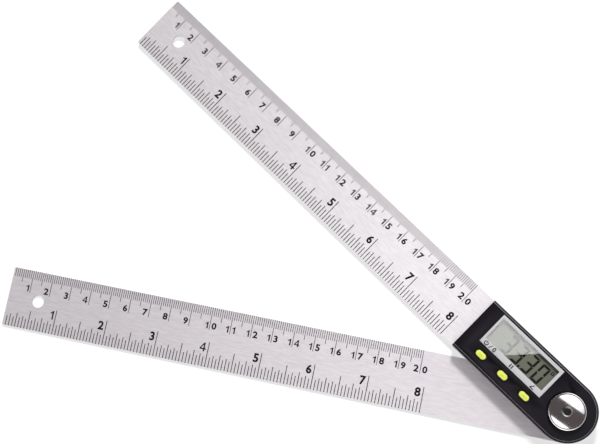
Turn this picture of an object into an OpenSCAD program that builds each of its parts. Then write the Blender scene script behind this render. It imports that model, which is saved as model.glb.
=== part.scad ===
// Digital angle finder: two graduated steel arms on one pivot, with a display unit
// over the pivot end of the upper arm.
// Origin: pivot axis, on the plane of the lower arm's resting face. +X runs along the
// upper (display) arm to its free end, +Z points to the reader.

/* [Arms] */
// Width of both blades
blade_w = 28; // [28:0.5:34]
// Thickness of both blades
blade_t = 1.2; // [1:0.1:1.6]
// Pivot axis to the free end of each blade
blade_len = 266.4; // [230:0.2:420]
// Corner radius at the free ends
blade_corner_r = 0.6; // [0.3:0.1:2]
// Hanging hole diameter
hang_d = 6; // [4:0.5:8]
// Hanging hole centre, from the free end
hang_in = 15.1; // [8:0.1:25]
// Angle between the arms as drawn
open_angle = 32.94; // [0:0.01:180]

/* [Pivot] */
// Friction washer between the blades, thickness
shim_t = 0.2; // [0.1:0.05:0.5]
// Friction washer between the blades, outer radius
shim_r = 10; // [7:0.5:13]
// Shaft radius in the lower bush
shaft_r = 4; // [3.6:0.1:4.6]
// Shaft radius in the hub and in the upper bush
neck_r = 3; // [2.6:0.1:3.3]
// Thread radius at the top of the shaft
thread_r = 2; // [1.6:0.1:2.3]
// Radius of the shaft's flush head at the resting face
head_r = 7.5; // [6.8:0.1:9]
// How much the head narrows through the blade
head_taper = 1.2; // [0.6:0.1:1.8]
// Radial running clearance of shafts in bushes
run_clear = 0.03; // [0.02:0.01:0.08]
// Wall of the lower bush
bush_wall = 1.5; // [1:0.1:2]
// Flange of both bushes beyond the tube
bush_flange_w = 1.5; // [0.8:0.1:2]
// Flange thickness of both bushes
bush_flange_t = 0.4; // [0.3:0.05:0.6]

/* [Housing] */
// Housing side, in from the blade's edge
house_in = 0.15; // [0:0.05:0.5]
// Housing beyond the bezel's far end
house_end = 7.35; // [7:0.05:20]
// Side wall thickness
wall = 1.4; // [1.1:0.1:1.5]
// Top wall thickness
top_t = 1.2; // [1:0.1:1.5]
// Bevel along the top edge, width
bevel_w = 1.05; // [0.4:0.05:1.2]
// Bevel along the top edge, height
bevel_h = 1.3; // [0.6:0.1:2]
// Rounding where the bevel meets its neighbours
bevel_round = 0.25; // [0.1:0.05:0.4]

/* [Display] */
// Knob's well to the near end of the bezel
bezel_gap = 3.75; // [3.6:0.05:8]
// Bezel, in from the housing's edge on the centimetre side
bezel_in = 1.95; // [1.8:0.05:3]
// Bezel length
bezel_len = 35.9; // [32:0.1:60]
// Housing face between the bezel and the edge on the button side
key_band = 9.85; // [9.5:0.05:11]
// Bezel border at the near end
border_near = 1.5; // [1:0.05:2]
// Bezel border at the far end
border_far = 1.1; // [1:0.05:2]
// Bezel border on the centimetre side
border_top = 1.55; // [1:0.05:2]
// Bezel border on the button side
border_low = 2.85; // [2:0.05:3.5]
// Bezel thickness
bezel_t = 0.5; // [0.4:0.05:0.7]
// Bezel height above the housing's top
bezel_proud = 0.3; // [0.1:0.05:0.5]
// Window thickness
lens_t = 0.6; // [0.5:0.05:0.8]
// Ledge that carries the window
ledge_t = 0.8; // [0.6:0.1:1]
// Thickness of each glass of the display
glass_t = 0.55; // [0.4:0.05:0.6]
// Height of the space between the board and the display
lcd_rise = 1; // [0.7:0.1:1.2]
// Clearance round seated pieces
seat_clear = 0.1; // [0.05:0.01:0.15]

/* [Buttons] */
// Button length
key_len = 5.1; // [4.4:0.1:6]
// Button width
key_w = 2.8; // [2.4:0.1:3.4]
// First button, from the bezel's near end
key_in_near = 5.2; // [4.5:0.05:8]
// Last button, from the bezel's far end
key_in_far = 4.9; // [4.5:0.05:8]
// Button row, in from the housing's edge
key_in = 5.65; // [5.2:0.05:6]
// Button height above the housing's top
key_proud = 0.5; // [0.45:0.05:1]
// Button travel
key_travel = 0.4; // [0.2:0.05:0.45]
// Clearance round a button in its hole
key_clear = 0.18; // [0.1:0.01:0.25]

/* [Knob] */
// Knob radius
knob_r = 8.2; // [7:0.1:8.6]
// Knob top above the housing's top
knob_rise = 2.6; // [2.2:0.1:5]
// Depth of the dished face
dish = 0.5; // [0.2:0.05:0.8]
// Width of the knob's flat rim
rim_w = 0.45; // [0.3:0.05:1]
// Depth of the well round the knob
well_d = 1.4; // [0.8:0.1:1.6]
// Gap between the knob and its well
well_gap = 0.5; // [0.3:0.05:0.6]
// Milled grooves round the knob
knurl_n = 48; // [24:4:64]
// Depth of the milled grooves
knurl_d = 0.15; // [0.1:0.01:0.2]
// Knob screw's head radius
cap_r = 2.2; // [2:0.05:2.4]
// Knob screw's recess radius
cap_hole_r = 1.45; // [1:0.05:1.6]

/* [Electronics] */
// Board thickness
board_t = 0.8; // [0.6:0.1:1]
// Encoder rotor radius
rotor_r = 10.8; // [9:0.1:11]
// Encoder rotor thickness
rotor_t = 0.8; // [0.6:0.1:1]
// Air gap between the rotor and the board
rotor_gap = 0.3; // [0.2:0.05:0.4]
// Coin cell radius
cell_r = 10; // [9:0.1:10]
// Coin cell thickness
cell_t = 3.2; // [2.5:0.1:3.2]
// Room for the cell's spring
spring_room = 0.35; // [0.3:0.05:3]
// Battery lid's clearance in the blade
lid_clear = 0.2; // [0.1:0.01:0.25]
// Turn that frees the battery lid
lid_turn = 35; // [32:1:60]
// Housing screw shank radius
screw_r = 0.9; // [0.7:0.05:1]
// Housing screw length
screw_len = 5; // [4:0.1:6]

/* [Hidden] */
$fn = 72;

eps = 0.01;
// how far a cut runs past the face it opens
past = 1;

// plan sizes, from the blade inwards and from the pivot outwards
blade_r = blade_w / 2;
house_r = blade_r - house_in;
in_r = house_r - wall;
well_r = knob_r + well_gap;
bezel_x = well_r + bezel_gap;
bezel_y = bezel_in - house_r;
bezel_w = 2 * house_r - bezel_in - key_band;
house_len = bezel_x + bezel_len + house_end;
in_end = house_len - wall;
win_x0 = bezel_x + border_near;
win_x1 = bezel_x + bezel_len - border_far;
win_y0 = bezel_y + border_top;
win_y1 = bezel_y + bezel_w - border_low;
key_x = bezel_x + key_in_near;
key_pitch = (bezel_len - key_in_near - key_in_far) / 2;
key_y = house_r - key_in;

// heights, from the resting face up through the cell, the board and the display
cell_clear = 0.05;
z_low_top = blade_t;
z_up = z_low_top + shim_t;
z_base = z_up + blade_t;
z_cell = z_base + cell_clear;
z_cell_top = z_cell + cell_t;
z_board_low = z_cell_top + spring_room;
z_board = z_board_low + board_t;
z_panel_low = z_board + lcd_rise;
z_panel = z_panel_low + 2 * glass_t;
z_ledge = z_panel + seat_clear + ledge_t;
z_window = z_ledge + lens_t;
z_bezel = z_window + bezel_t;
z_top = z_bezel - bezel_proud;
z_roof = z_top - top_t;

// heights at the pivot
well_floor_t = 0.8;
washer_t = 0.3;
boss_gap = 0.3;
step_gap = 0.1;
knob_gap = 0.3;
cap_inset = 0.6;
shaft_end_t = 0.35;
z_step = z_base + bush_flange_t + step_gap;
z_rotor = z_board_low - rotor_gap;
z_rotor_low = z_rotor - rotor_t;
z_boss_low = z_board + boss_gap;
z_well = z_top - well_d;
z_well_low = z_well - well_floor_t;
z_bush_top = z_well + bush_flange_t;
z_knob_seat = z_bush_top + washer_t;
z_knob_low = z_well + knob_gap;
z_knob = z_top + knob_rise;
z_dish = z_knob - dish;
z_thread_end = z_dish - cap_inset;
z_bore_floor = z_thread_end - shaft_end_t;

// radii at the pivot
bush_r = shaft_r + bush_wall;
knob_bush_r = neck_r + 1.2;
hub_r = neck_r + 2;
spigot_r = neck_r + 1;
well_wall = 1;
boss_wall = 2;
socket_r = 0.8;
socket_d = 2;

// display
panel_over = 0.9;
pad_w = 2;
ledge_over = 0.3;
frame_w = 0.9;
strip_in = 0.3;
strip_w = 1.5;
foam_w = 1.9;

// cell and its lid, which a coin turns
lid_rim_t = 0.55;
lid_rim_h = 0.8;
lid_play = 0.1;
rim_play = 0.2;
lug_w = 0.75;
lug_half = 14;
notch_half = lug_half + 2;
holder_wall = 0.55;
holder_play = 0.15;
holder_end = 0.3;
lid_in_r = cell_r + rim_play;
lid_r = lid_in_r + lid_rim_t;
lug_r = lid_r + lug_w;
groove_r = lug_r + 0.15;
holder_r = groove_r + holder_wall;
cell_x = in_end - holder_end - holder_r;

// screws
boss_r = screw_r + 1;
screw_in = 1.5;
screw_y = in_r - screw_in;
end_screw_x = in_end - screw_in;
near_screw_x = 9;
screw_clear = 0.2;
csk_r = screw_r + 1;
csk_t = 0.7;
cross_len = 2;
cross_w = 0.4;
cross_d = 0.4;
pilot_d = 5;
board_screw_r = 0.7;
board_head_r = 1.35;
board_head_t = 0.7;
board_boss_r = 1.5;
board_boss_gap = 0.55;
board_clear = 0.3;
board_pilot_d = 1.6;
board_screw_x = win_x0 - panel_over - board_boss_gap - board_boss_r;
board_screw_y = 7.4;
row_screw_x = key_x + key_pitch / 2;
row_screw_y = key_y + 0.4;

// buttons and their switches
flange_w = 0.5;
flange_t = 0.4;
flange_play = 0.1;
flange_side = 0.3;
key_round = 0.35;
key_step = 0.25;
guide_w = 1.5;
stem_r = 1;
stem_gap = 0.05;
dome_base = 4;
dome_base_t = 0.6;
dome_r = 1.7;
dome_top_r = 1.2;
dome_t = 0.4;
z_dome = z_board + dome_base_t + dome_t;
z_flange = z_roof - flange_play - flange_t;
z_stem = z_dome + key_travel + stem_gap;

// points of an arc, for profiles
function arc(cx, cy, r, a0, a1, n) =
    [for (i = [0 : n]) [cx + r * cos(a0 + (a1 - a0) * i / n), cy + r * sin(a0 + (a1 - a0) * i / n)]];

// ---- shared shapes -------------------------------------------------------

module turned(a) rotate([0, 0, a]) children();

module tube(r_out, r_in, z0, z1)
    translate([0, 0, z0])
        difference() {
            cylinder(r = r_out, h = z1 - z0);
            translate([0, 0, -past]) cylinder(r = r_in, h = z1 - z0 + 2 * past);
        }

module slab(x0, x1, y0, y1, z0, z1)
    translate([x0, y0, z0]) cube([x1 - x0, y1 - y0, z1 - z0]);

// one rule blade, lying on z = 0
module blade_body()
    difference() {
        union() {
            cylinder(r = blade_r, h = blade_t);
            translate([0, -blade_r, 0])
                cube([blade_len - blade_corner_r, blade_w, blade_t]);
            translate([0, -blade_r + blade_corner_r, 0])
                cube([blade_len, blade_w - 2 * blade_corner_r, blade_t]);
            for (s = [-1, 1])
                translate([blade_len - blade_corner_r, s * (blade_r - blade_corner_r), 0])
                    cylinder(r = blade_corner_r, h = blade_t);
        }
        translate([blade_len - hang_in, 0, -past])
            cylinder(r = hang_d / 2, h = blade_t + 2 * past);
    }

// round column with one flat, which keys the hub to the shaft
module keyed(r, h)
    intersection() {
        cylinder(r = r, h = h);
        translate([-2 * r, -2 * r, -past]) cube([2.8 * r, 4 * r, h + 2 * past]);
    }

// sector of a ring, for bayonet lugs and their notches
module ring_sector(r_in, r_out, half, h)
    intersection() {
        difference() {
            cylinder(r = r_out, h = h);
            translate([0, 0, -past]) cylinder(r = r_in, h = h + 2 * past);
        }
        linear_extrude(height = h)
            polygon([[0, 0], [2 * r_out, -2 * r_out * tan(half)],
                [2 * r_out, 2 * r_out * tan(half)]]);
    }

module pill(len, w, h)
    union() {
        translate([-(len - w) / 2, -w / 2, 0]) cube([len - w, w, h]);
        for (s = [-1, 1])
            translate([s * (len - w) / 2, 0, 0]) cylinder(r = w / 2, h = h);
    }

// a pill grown by g all round
module grown_pill(g, h) pill(key_len + 2 * g, key_w + 2 * g, h);

// a pill with its top edge rounded
module soft_pill(len, w, h, r) {
    half = concat([[0, 0], [w / 2, 0]], arc(w / 2 - r, h - r, r, 0, 90, 4), [[0, h]]);
    for (s = [-1, 1])
        translate([s * (len - w) / 2, 0, 0]) rotate_extrude() polygon(half);
    translate([-(len - w) / 2, 0, 0]) rotate([90, 0, 90])
        linear_extrude(height = len - w) polygon(both_sides(half));
}

module at_screws()
    for (x = [near_screw_x, end_screw_x])
        for (s = [-1, 1])
            translate([x, s * screw_y, 0]) children();

module at_board_screws() {
    for (s = [-1, 1])
        translate([board_screw_x, s * board_screw_y, 0]) children();
    translate([row_screw_x, row_screw_y, 0]) children();
}

module at_keys()
    for (i = [0 : 2])
        translate([key_x + i * key_pitch, key_y, 0]) children();

// ---- arms ----------------------------------------------------------------

module upper_blade() color("lightgray")
    difference() {
        translate([0, 0, z_up]) blade_body();
        translate([0, 0, z_up - past]) cylinder(r = bush_r, h = blade_t + 2 * past);
        translate([cell_x, 0, z_up - past]) {
            cylinder(r = lid_r + lid_clear, h = blade_t + 2 * past);
            for (a = [0, 180])
                turned(a - lid_turn)
                    ring_sector(lid_in_r, groove_r, notch_half, blade_t + 2 * past);
        }
        at_screws() {
            translate([0, 0, z_up - past])
                cylinder(r = screw_r + screw_clear, h = blade_t + 2 * past);
            translate([0, 0, z_up - eps])
                cylinder(r1 = csk_r + screw_clear, r2 = screw_r + screw_clear, h = csk_t + 0.1);
        }
    }

module lower_blade() color("lightgray")
    turned(open_angle)
        difference() {
            blade_body();
            // the head's seat, run on past both faces at the same slope
            translate([0, 0, -blade_t])
                cylinder(r1 = head_r + head_taper, r2 = head_r - 2 * head_taper,
                    h = 3 * blade_t);
        }

module blade_washer() color("goldenrod")
    tube(shim_r, shaft_r + 5 * run_clear, z_low_top, z_up);

// ---- pivot ---------------------------------------------------------------

module pivot_shaft() color("silver")
    turned(open_angle)
        difference() {
            union() {
                cylinder(r1 = head_r, r2 = head_r - head_taper, h = blade_t);
                cylinder(r = shaft_r, h = z_step);
                translate([0, 0, z_step - eps]) keyed(neck_r, z_rotor - z_step + 2 * eps);
                translate([0, 0, z_rotor]) cylinder(r = neck_r, h = z_bush_top + step_gap - z_rotor);
                cylinder(r = thread_r, h = z_thread_end);
            }
            translate([0, 0, z_thread_end - socket_d]) cylinder(r = socket_r, h = socket_d + past);
        }

module pivot_bush() color("darkgoldenrod")
    difference() {
        union() {
            translate([0, 0, z_up]) cylinder(r = bush_r, h = blade_t + bush_flange_t);
            translate([0, 0, z_base]) cylinder(r = bush_r + bush_flange_w, h = bush_flange_t);
        }
        translate([0, 0, z_up - past])
            cylinder(r = shaft_r + run_clear, h = blade_t + bush_flange_t + 2 * past);
    }

module rotor_hub() color("darkgoldenrod")
    turned(open_angle)
        difference() {
            union() {
                translate([0, 0, z_step]) cylinder(r = hub_r, h = z_rotor_low - z_step);
                translate([0, 0, z_step]) cylinder(r = spigot_r, h = z_rotor - z_step);
            }
            translate([0, 0, z_step - past]) keyed(neck_r, z_rotor - z_step + 2 * past);
        }

notch_n = 12;
notch_r = 0.5;

module encoder_rotor() color("darkgreen")
    turned(open_angle)
        difference() {
            tube(rotor_r, spigot_r, z_rotor_low, z_rotor);
            for (i = [0 : notch_n - 1])
                turned((i + 0.5) * 360 / notch_n)
                    translate([rotor_r, 0, z_rotor_low - past])
                        cylinder(r = notch_r, h = rotor_t + 2 * past);
        }

module knob_bush() color("darkgoldenrod")
    difference() {
        union() {
            translate([0, 0, z_boss_low]) cylinder(r = knob_bush_r, h = z_bush_top - z_boss_low);
            translate([0, 0, z_well])
                cylinder(r = knob_bush_r + bush_flange_w, h = bush_flange_t);
        }
        translate([0, 0, z_boss_low - past])
            cylinder(r = neck_r + run_clear, h = z_bush_top - z_boss_low + 2 * past);
    }

module knob_washer() color("whitesmoke")
    tube(knob_bush_r + bush_flange_w, neck_r + 5 * run_clear, z_bush_top, z_knob_seat);

// ---- knob ----------------------------------------------------------------

knob_edge_r = 0.3;
knob_skirt_t = 0.9;
skirt_h = 0.9;
seat_r = knob_bush_r + 0.5;
knob_bore_r = cap_r + 0.3;
knob_thread_r = thread_r + run_clear + 0.02;
lip = 0.15;
dish_r = knob_r - knob_edge_r - rim_w;
knurl_r = 0.35;
knurl_low = z_knob_low + 0.4;
knurl_top = z_knob - 2 * knob_edge_r;

module lock_knob() color("gainsboro")
    difference() {
        rotate_extrude()
            polygon(concat(
                [[knob_thread_r, z_knob_seat], [knob_bush_r, z_knob_seat],
                    [seat_r, z_knob_seat + skirt_h],
                    [knob_r - knob_skirt_t, z_knob_seat + skirt_h],
                    [knob_r - knob_skirt_t, z_knob_low], [knob_r - lip, z_knob_low],
                    [knob_r, z_knob_low + lip]],
                arc(knob_r - knob_edge_r, z_knob - knob_edge_r, knob_edge_r, 0, 90, 5),
                [for (i = [0 : 10])
                    let (r = dish_r - (dish_r - knob_bore_r - lip) * i / 10)
                    [r, z_knob - dish * sin(90 * i / 10)]],
                [[knob_bore_r, z_dish - lip], [knob_bore_r, z_bore_floor],
                    [knob_thread_r, z_bore_floor]]));
        // milled grooves round the grip
        for (i = [0 : knurl_n - 1])
            turned(i * 360 / knurl_n)
                translate([knob_r + knurl_r - knurl_d, 0, knurl_low])
                    cylinder(r = knurl_r, h = knurl_top - knurl_low, $fn = 24);
    }

cap_h = 0.9;
cap_round = 0.25;
cap_floor = 0.2;

module knob_screw() color("silver")
    turned(open_angle)
        difference() {
            union() {
                translate([0, 0, z_thread_end])
                    rotate_extrude()
                        polygon(concat([[0, 0], [cap_r, 0]],
                            arc(cap_r - cap_round, cap_h - cap_round, cap_round, 0, 90, 4),
                            [[0, cap_h]]));
                translate([0, 0, z_bore_floor - thread_r]) cylinder(r = socket_r,
                    h = z_thread_end - z_bore_floor + thread_r + eps);
            }
            translate([0, 0, z_thread_end + cap_floor]) cylinder(r = cap_hole_r, h = cap_h);
        }

// ---- housing -------------------------------------------------------------

// half section of the housing's outside, radius across and height up
bevel_a = atan2(bevel_w, bevel_h);
function skin() = concat(
    [[0, z_base], [house_r, z_base]],
    arc(house_r - bevel_round, z_top - bevel_h - bevel_round * tan(bevel_a / 2),
        bevel_round, 0, bevel_a, 3),
    arc(house_r - bevel_w - bevel_round * tan(45 - bevel_a / 2), z_top - bevel_round,
        bevel_round, bevel_a, 90, 4),
    [[0, z_top]]);

// a half section and its mirror image, as one outline
function both_sides(pts) = concat(pts,
    [for (i = [len(pts) - 1 : -1 : 0]) if (pts[i][0] > 0) [-pts[i][0], pts[i][1]]]);

module house_solid() {
    rotate_extrude() polygon(skin());
    rotate([90, 0, 90]) linear_extrude(height = house_len) polygon(both_sides(skin()));
}

module house_cavity() {
    translate([0, 0, z_base - past]) cylinder(r = in_r, h = z_roof - z_base + past);
    slab(0, in_end, -in_r, in_r, z_base - past, z_roof);
}

module front_housing() color([0.12, 0.12, 0.14])
    difference() {
        union() {
            difference() {
                house_solid();
                house_cavity();
            }
            // floor and boss of the knob's well
            translate([0, 0, z_well_low])
                cylinder(r = well_r + well_wall, h = z_roof - z_well_low + eps);
            translate([0, 0, z_boss_low])
                cylinder(r = knob_bush_r + boss_wall, h = z_roof - z_boss_low);
            // frame round the display
            slab(bezel_x - frame_w, bezel_x + bezel_len + frame_w,
                max(bezel_y - frame_w, -in_r - eps), bezel_y + bezel_w + frame_w,
                z_ledge - ledge_t, z_roof + eps);
            // screw columns, joined to the side walls
            intersection() {
                at_screws()
                    translate([0, 0, z_base]) cylinder(r = boss_r, h = z_roof - z_base + eps);
                slab(-house_r, house_len - eps, -in_r - wall / 2, in_r + wall / 2, z_base, z_top);
            }
            at_board_screws()
                translate([0, 0, z_board]) cylinder(r = board_boss_r, h = z_roof - z_board + eps);
            // guides under the buttons
            at_keys()
                translate([0, 0, z_roof - flange_t]) grown_pill(guide_w, flange_t + eps);
        }
        // knob well and bush bore
        translate([0, 0, z_well]) cylinder(r = well_r, h = well_d + past);
        translate([0, 0, z_boss_low - past])
            cylinder(r = knob_bush_r, h = z_well - z_boss_low + 2 * past);
        // display pocket and opening
        slab(bezel_x - seat_clear, bezel_x + bezel_len + seat_clear, bezel_y - seat_clear,
            bezel_y + bezel_w + seat_clear, z_ledge, z_top + past);
        slab(win_x0 - ledge_over, win_x1 + ledge_over, win_y0 - ledge_over, win_y1 + ledge_over,
            z_ledge - ledge_t - past, z_ledge + eps);
        // button holes, with a step at the top and room for the flange below
        at_keys() {
            translate([0, 0, z_roof - past]) grown_pill(key_clear, top_t + 2 * past);
            translate([0, 0, z_top - key_step]) grown_pill(key_clear + key_step, key_step + past);
            translate([0, 0, z_flange]) grown_pill(flange_w + flange_side, z_roof - z_flange);
        }
        // screw pilots
        at_screws() translate([0, 0, z_base - past]) cylinder(r = screw_r, h = pilot_d + past);
        at_board_screws()
            translate([0, 0, z_board - past]) cylinder(r = board_screw_r, h = board_pilot_d + past);
    }

z_screw = z_up + 0.05;

module housing_screws() color("dimgray")
    at_screws()
        difference() {
            union() {
                translate([0, 0, z_screw]) cylinder(r1 = csk_r, r2 = screw_r, h = csk_t);
                translate([0, 0, z_screw]) cylinder(r = screw_r, h = screw_len);
            }
            for (a = [0, 90])
                turned(a)
                    slab(-cross_len / 2, cross_len / 2, -cross_w / 2, cross_w / 2,
                        z_screw - past, z_screw + cross_d);
        }

// ---- display -------------------------------------------------------------

module display_bezel() color("silver")
    difference() {
        slab(bezel_x, bezel_x + bezel_len, bezel_y, bezel_y + bezel_w, z_window, z_bezel);
        slab(win_x0, win_x1, win_y0, win_y1, z_window - past, z_bezel + past);
    }

module display_window() color([0.8, 0.85, 0.85, 0.4])
    slab(bezel_x, bezel_x + bezel_len, bezel_y, bezel_y + bezel_w, z_ledge, z_window);

module display_panel() color([0.6, 0.63, 0.55])
    union() {
        slab(win_x0 - panel_over, win_x1 + panel_over, win_y0 - panel_over,
            win_y1 + pad_w, z_panel - glass_t, z_panel);
        slab(win_x0 - panel_over, win_x1 + panel_over, win_y0 - panel_over,
            win_y1 + strip_in / 2, z_panel_low, z_panel - glass_t + eps);
    }

module contact_strip() color("dimgray")
    slab(win_x0, win_x1, win_y1 + strip_in, win_y1 + strip_in + strip_w, z_board,
        z_panel - glass_t);

module foam_strip() color("black")
    slab(win_x0, win_x1, win_y0 - panel_over, win_y0 - panel_over + foam_w, z_board,
        z_panel_low);

// ---- board and what is on it --------------------------------------------

module circuit_board() color("darkgreen")
    difference() {
        union() {
            translate([0, 0, z_board_low]) cylinder(r = in_r - board_clear, h = board_t);
            slab(0, in_end - board_clear, -in_r + board_clear, in_r - board_clear,
                z_board_low, z_board);
        }
        translate([0, 0, z_board_low - past]) cylinder(r = hub_r + 1, h = board_t + 2 * past);
        // corners cut back for the screw columns
        at_screws()
            translate([0, 0, z_board_low - past])
                cylinder(r = boss_r + board_clear, h = board_t + 2 * past);
        for (x = [near_screw_x, end_screw_x])
            for (s = [-1, 1])
                slab(x - boss_r - board_clear, x + boss_r + board_clear,
                    s > 0 ? screw_y : -in_r - past, s > 0 ? in_r + past : -screw_y,
                    z_board_low - past, z_board + past);
        at_board_screws()
            translate([0, 0, z_board_low - past])
                cylinder(r = board_screw_r + screw_clear, h = board_t + 2 * past);
    }

chip_r = 3;
chip_rim = 0.25;
chip_crown = 0.85;
chip_y = -2.5;

module potted_chip() color([0.08, 0.08, 0.08])
    translate([(rotor_r + cell_x - holder_r) / 2 + 0.6, chip_y, z_board_low])
        rotate_extrude()
            polygon(concat([[0, 0], [chip_r, 0]],
                [for (i = [0 : 6])
                    [chip_r * cos(15 * i), -chip_rim - chip_crown * sin(15 * i)]]));

module board_screws() color("dimgray")
    at_board_screws() {
        translate([0, 0, z_board_low - board_head_t]) cylinder(r = board_head_r, h = board_head_t);
        translate([0, 0, z_board_low - board_head_t])
            cylinder(r = board_screw_r, h = board_head_t + board_t + board_pilot_d - 0.1);
    }

module dome_switches() color("silver")
    at_keys()
        union() {
            slab(-dome_base / 2, dome_base / 2, -dome_base / 2, dome_base / 2, z_board,
                z_board + dome_base_t);
            translate([0, 0, z_board + dome_base_t])
                cylinder(r1 = dome_r, r2 = dome_top_r, h = dome_t);
        }

module button(i) color("greenyellow")
    translate([key_x + i * key_pitch, key_y, 0])
        union() {
            translate([0, 0, z_flange + flange_t - eps])
                soft_pill(key_len, key_w, z_top + key_proud - z_flange - flange_t + eps, key_round);
            translate([0, 0, z_flange]) grown_pill(flange_w, flange_t);
            translate([0, 0, z_stem]) cylinder(r = stem_r, h = z_flange + eps - z_stem);
        }

module button_near() button(0);
module button_middle() button(1);
module button_far() button(2);

// ---- cell, holder, contacts, lid -----------------------------------------

cell_edge = 0.3;
cell_crimp = 1.3;
cell_step = 0.4;

module coin_cell() color("silver")
    translate([cell_x, 0, z_cell])
        rotate_extrude()
            polygon([[0, 0], [cell_r - cell_edge, 0], [cell_r, cell_edge],
                [cell_r, cell_t - cell_step - cell_edge],
                [cell_r - cell_edge, cell_t - cell_step],
                [cell_r - cell_crimp, cell_t - cell_step],
                [cell_r - cell_crimp - cell_edge, cell_t], [0, cell_t]]);

clip_w = 3.2;
clip_t = 0.25;
clip_gap = 0.1;
clip_foot = 1.8;
clip_slot_w = 4.4;
clip_rise = 1.4;
z_slot = z_base + lid_rim_h + 0.3;

module cell_holder() color([0.1, 0.1, 0.1])
    difference() {
        intersection() {
            translate([cell_x, 0, z_base]) cylinder(r = holder_r, h = z_board_low - z_base);
            slab(cell_x - holder_r - past, cell_x + holder_r + past, -in_r + holder_play,
                in_r - holder_play, z_base, z_board_low);
        }
        translate([cell_x, 0, z_base - past]) {
            cylinder(r = groove_r, h = lid_rim_h + lid_play + past);
            cylinder(r = cell_r + 0.25, h = z_board_low - z_base + 2 * past);
        }
        slab(cell_x - holder_r - past, cell_x - cell_r + past, -clip_slot_w / 2,
            clip_slot_w / 2, z_slot, z_board_low + past);
    }

spring_t = 0.12;
spring_w = 4;
spring_root = 6;
spring_bend = 2;
spring_foot = -3;
spring_tip = -4;
z_spring = z_cell_top + eps;

module cell_spring() color("goldenrod")
    translate([cell_x, spring_w / 2, 0])
        rotate([90, 0, 0])
            linear_extrude(height = spring_w)
                polygon([[spring_root, z_board_low], [spring_root, z_board_low - spring_t],
                    [spring_bend, z_board_low - spring_t], [spring_foot, z_spring],
                    [spring_tip, z_spring], [spring_tip, z_spring + spring_t],
                    [spring_foot, z_spring + spring_t], [spring_bend, z_board_low]]);

module cell_clip() color("goldenrod")
    union() {
        slab(cell_x - cell_r - clip_gap - clip_t, cell_x - cell_r - clip_gap, -clip_w / 2,
            clip_w / 2, z_base + clip_rise, z_board_low);
        slab(cell_x - cell_r - clip_gap - clip_foot, cell_x - cell_r - clip_gap, -clip_w / 2,
            clip_w / 2, z_board_low - clip_t, z_board_low);
    }

coin_slot_w = 1.6;
coin_slot_len = 14;
coin_slot_d = 0.7;

module battery_lid() color([0.1, 0.1, 0.1])
    translate([cell_x, 0, 0])
        difference() {
            union() {
                translate([0, 0, z_up]) cylinder(r = lid_r, h = blade_t);
                tube(lid_r, lid_in_r, z_base - eps, z_base + lid_rim_h);
                for (a = [0, 180])
                    turned(a) translate([0, 0, z_base + lid_play])
                        ring_sector(lid_r - 0.2, lug_r, lug_half, lid_rim_h - 2 * lid_play);
            }
            translate([0, 0, z_up - eps])
                turned(90) pill(coin_slot_len, coin_slot_w, coin_slot_d);
        }

upper_blade();
lower_blade();
blade_washer();
pivot_shaft();
pivot_bush();
rotor_hub();
encoder_rotor();
front_housing();
knob_bush();
knob_washer();
lock_knob();
knob_screw();
display_bezel();
display_window();
display_panel();
contact_strip();
foam_strip();
circuit_board();
potted_chip();
board_screws();
dome_switches();
button_near();
button_middle();
button_far();
cell_holder();
coin_cell();
cell_spring();
cell_clip();
battery_lid();
housing_screws();
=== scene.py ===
import math
import bpy
import bmesh
from mathutils import Matrix, Vector
from mathutils.geometry import tessellate_polygon


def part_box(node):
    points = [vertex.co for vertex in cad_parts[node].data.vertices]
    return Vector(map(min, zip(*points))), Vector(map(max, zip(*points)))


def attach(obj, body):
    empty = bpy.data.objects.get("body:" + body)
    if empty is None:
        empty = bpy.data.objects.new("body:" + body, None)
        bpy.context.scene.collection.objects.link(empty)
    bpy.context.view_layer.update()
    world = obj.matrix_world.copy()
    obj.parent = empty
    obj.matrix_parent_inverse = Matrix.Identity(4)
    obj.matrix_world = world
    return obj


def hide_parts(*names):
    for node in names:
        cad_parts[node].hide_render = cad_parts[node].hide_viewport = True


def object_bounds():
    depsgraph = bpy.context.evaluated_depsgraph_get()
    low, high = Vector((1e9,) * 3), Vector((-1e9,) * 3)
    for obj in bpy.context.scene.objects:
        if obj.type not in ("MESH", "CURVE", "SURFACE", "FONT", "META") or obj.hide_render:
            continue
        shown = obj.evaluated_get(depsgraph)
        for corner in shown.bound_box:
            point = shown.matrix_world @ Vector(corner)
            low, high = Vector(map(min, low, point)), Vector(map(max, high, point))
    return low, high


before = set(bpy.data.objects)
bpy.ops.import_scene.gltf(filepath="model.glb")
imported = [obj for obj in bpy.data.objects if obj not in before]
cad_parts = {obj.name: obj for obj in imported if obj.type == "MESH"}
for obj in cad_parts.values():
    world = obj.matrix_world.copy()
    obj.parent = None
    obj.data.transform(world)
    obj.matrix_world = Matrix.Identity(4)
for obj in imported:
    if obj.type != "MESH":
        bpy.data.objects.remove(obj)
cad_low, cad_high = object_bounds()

MM = 0.001
OPEN_ANGLE = math.radians(32.94)

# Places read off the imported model, in metres.
blade_low, blade_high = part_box("upper_blade")
_, house_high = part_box("front_housing")
_, bezel_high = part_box("display_bezel")
_, panel_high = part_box("display_panel")
knob_low, knob_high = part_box("lock_knob")
cap_low, cap_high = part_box("knob_screw")
lid_low, lid_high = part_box("battery_lid")
_, arm_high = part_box("lower_blade")

BLADE_R = (blade_high.y - blade_low.y) / 2
FREE_END = blade_high.x
KNOB_R = (knob_high.x - knob_low.x) / 2
CAP_R = (cap_high.x - cap_low.x) / 2


# ---- short ways to build node trees ---------------------------------------

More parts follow.
